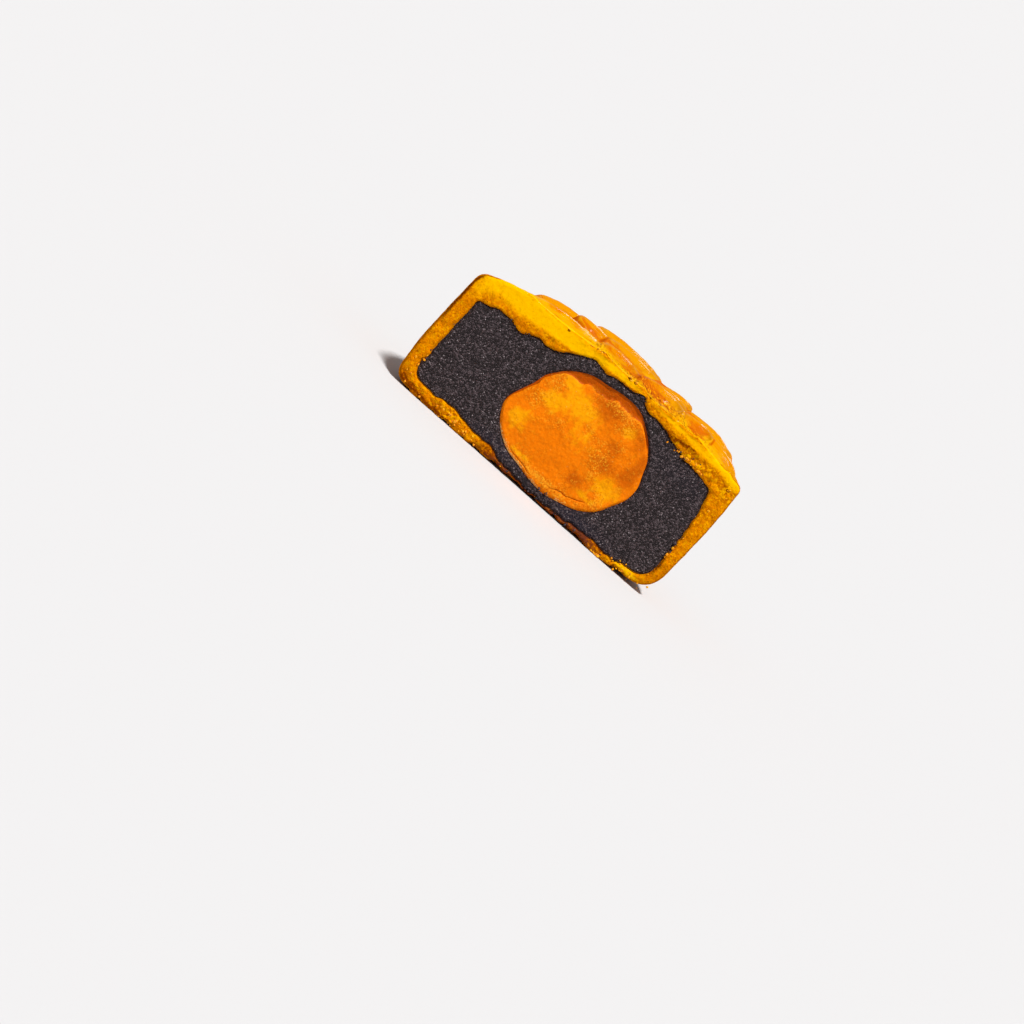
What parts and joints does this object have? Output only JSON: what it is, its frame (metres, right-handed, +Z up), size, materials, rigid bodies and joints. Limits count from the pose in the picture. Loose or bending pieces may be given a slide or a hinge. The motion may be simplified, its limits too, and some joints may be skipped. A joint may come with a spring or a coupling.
{
  "type": "half mooncake with black sesame paste and egg yolk",
  "caption": "Half of a round, fluted baked mooncake with a flower pressed into its lid, cut to show black sesame paste round a salted egg yolk.",
  "frame": {"origin": "middle of the flat base, in the box of the half cake", "axes": "+X along the cut face to the right as seen from the cut, +Y away from the cut into the cake, +Z up"},
  "size_m": [0.0672, 0.0336, 0.032],
  "materials": {
    "baked_crust": "baked golden pastry, egg-washed and glossy on the lid, crumbly where cut",
    "sesame_paste": "fine-grained near-black paste with small pale glints",
    "egg_yolk": "cooked salted yolk, mottled orange, dull and slightly oily"
  },
  "bodies": {
    "root": {"crust": "baked_crust", "sesame_paste": "sesame_paste", "egg_yolk": "egg_yolk"}
  },
  "joints": []
}
